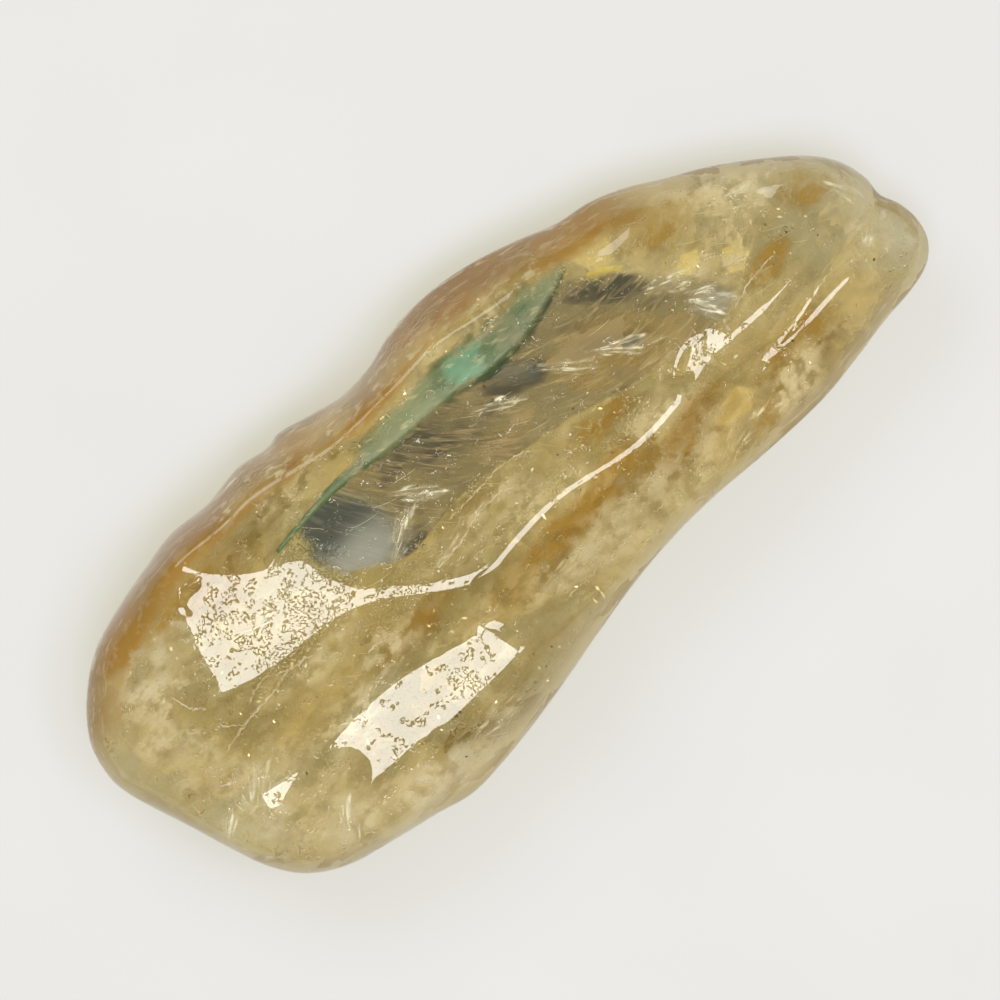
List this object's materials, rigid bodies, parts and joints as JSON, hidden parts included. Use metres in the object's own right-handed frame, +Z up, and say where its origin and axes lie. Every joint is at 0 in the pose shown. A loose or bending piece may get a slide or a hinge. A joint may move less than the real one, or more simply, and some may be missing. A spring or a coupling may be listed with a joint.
{
  "type": "polished freeform crystal stone",
  "caption": "A polished freeform prasiolite: a long see-through pale green-yellow quartz stone with a flat, a wavy crest, shallow scoops and a notched tip, lying on its flat back.",
  "frame": {"origin": "under the middle of the stone's box, on the surface that it lies on", "axes": "+X is along the stone to its narrow tip, +Y is across it to the side with the scalloped edge, and +Z is up out of the polished front"},
  "size_m": [0.0648, 0.0276, 0.0129],
  "materials": {
    "prasiolite": "polished clear quartz, pale green-yellow, with milky veils and fine fractures inside"
  },
  "bodies": {
    "root": {"prasiolite_stone": "prasiolite"}
  },
  "joints": []
}
